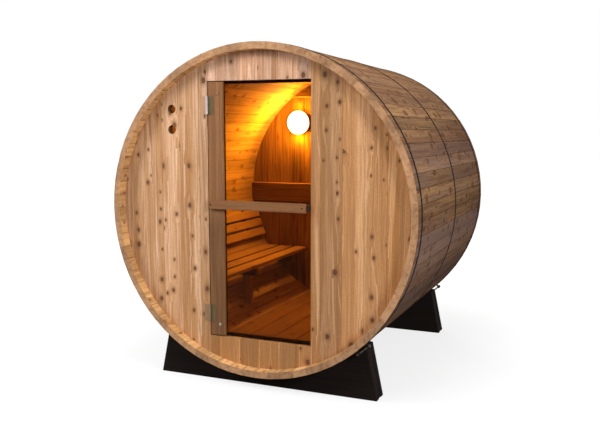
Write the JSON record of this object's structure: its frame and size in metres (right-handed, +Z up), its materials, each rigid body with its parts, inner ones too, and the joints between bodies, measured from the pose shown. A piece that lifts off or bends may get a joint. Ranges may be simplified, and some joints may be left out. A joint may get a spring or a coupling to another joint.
{
  "type": "barrel sauna",
  "caption": "Round cedar barrel sauna on two black cradles, with recessed board end walls, a bronze glass door on a wooden stile, vent holes, a wall lamp, a slatted bench and a board floor.",
  "frame": {"origin": "on the ground under the middle of the barrel", "axes": "+Z up, the barrel's axis along Y, the door at the -Y end, +X to the right of someone facing the door"},
  "size_m": [1.8318, 1.76, 1.9069],
  "materials": {
    "stave_cedar": "planed knotty cedar, unsealed",
    "board_cedar": "planed knotty cedar boards, unsealed",
    "inner_cedar": "planed clear cedar, unsealed",
    "door_wood": "planed brown cedar, unsealed",
    "stop_strip": "matt black sealing strip",
    "black_timber": "matt black stain",
    "hoop_steel": "satin black",
    "bolt_steel": "zinc plated",
    "hinge_steel": "satin",
    "bronze_glass": "clear, bronze tint",
    "black_fitting": "satin black",
    "lamp_rim": "satin dark",
    "lamp_opal": "opal, lit"
  },
  "bodies": {
    "cabin": {"staves_a": "stave_cedar", "staves_b": "stave_cedar", "staves_c": "stave_cedar", "staves_d": "stave_cedar", "staves_e": "stave_cedar", "staves_f": "stave_cedar", "staves_g": "stave_cedar", "staves_h": "stave_cedar", "front_hoop": "hoop_steel", "front_hoop_bolt": "bolt_steel", "middle_hoop": "hoop_steel", "middle_hoop_bolt": "bolt_steel", "back_hoop": "hoop_steel", "back_hoop_bolt": "bolt_steel", "front_cradle_boards": "black_timber", "front_cradle_spacer": "black_timber", "back_cradle_boards": "black_timber", "back_cradle_spacer": "black_timber", "front_wall_left": "board_cedar", "front_wall_right": "board_cedar", "front_wall_top": "board_cedar", "front_wall_sill": "board_cedar", "back_wall": "board_cedar", "door_stops": "stop_strip", "upper_hinge_wall_leaf": "hinge_steel", "lower_hinge_wall_leaf": "hinge_steel", "lower_batten": "inner_cedar", "upper_batten": "inner_cedar", "lamp_base": "lamp_rim", "lamp_dome": "lamp_opal", "floor_boards": "inner_cedar", "floor_joists": "inner_cedar", "seat_boards": "inner_cedar", "bench_bearers": "inner_cedar", "bench_leg": "inner_cedar", "backrest_slats": "inner_cedar", "backrest_cleats": "inner_cedar"},
    "door": {"door_stile": "door_wood", "door_glass": "bronze_glass", "handle_bar": "door_wood", "handle_spacer": "black_fitting", "door_catch": "black_fitting", "upper_hinge_door_leaf": "hinge_steel", "lower_hinge_door_leaf": "hinge_steel"}
  },
  "joints": [
    {"name": "door_hinge", "type": "hinge", "parent": "cabin", "child": "door", "pos_m": [-0.31, -0.8283, 0.991], "axis": [0, 0, -1], "range_deg": [0, 130]}
  ]
}
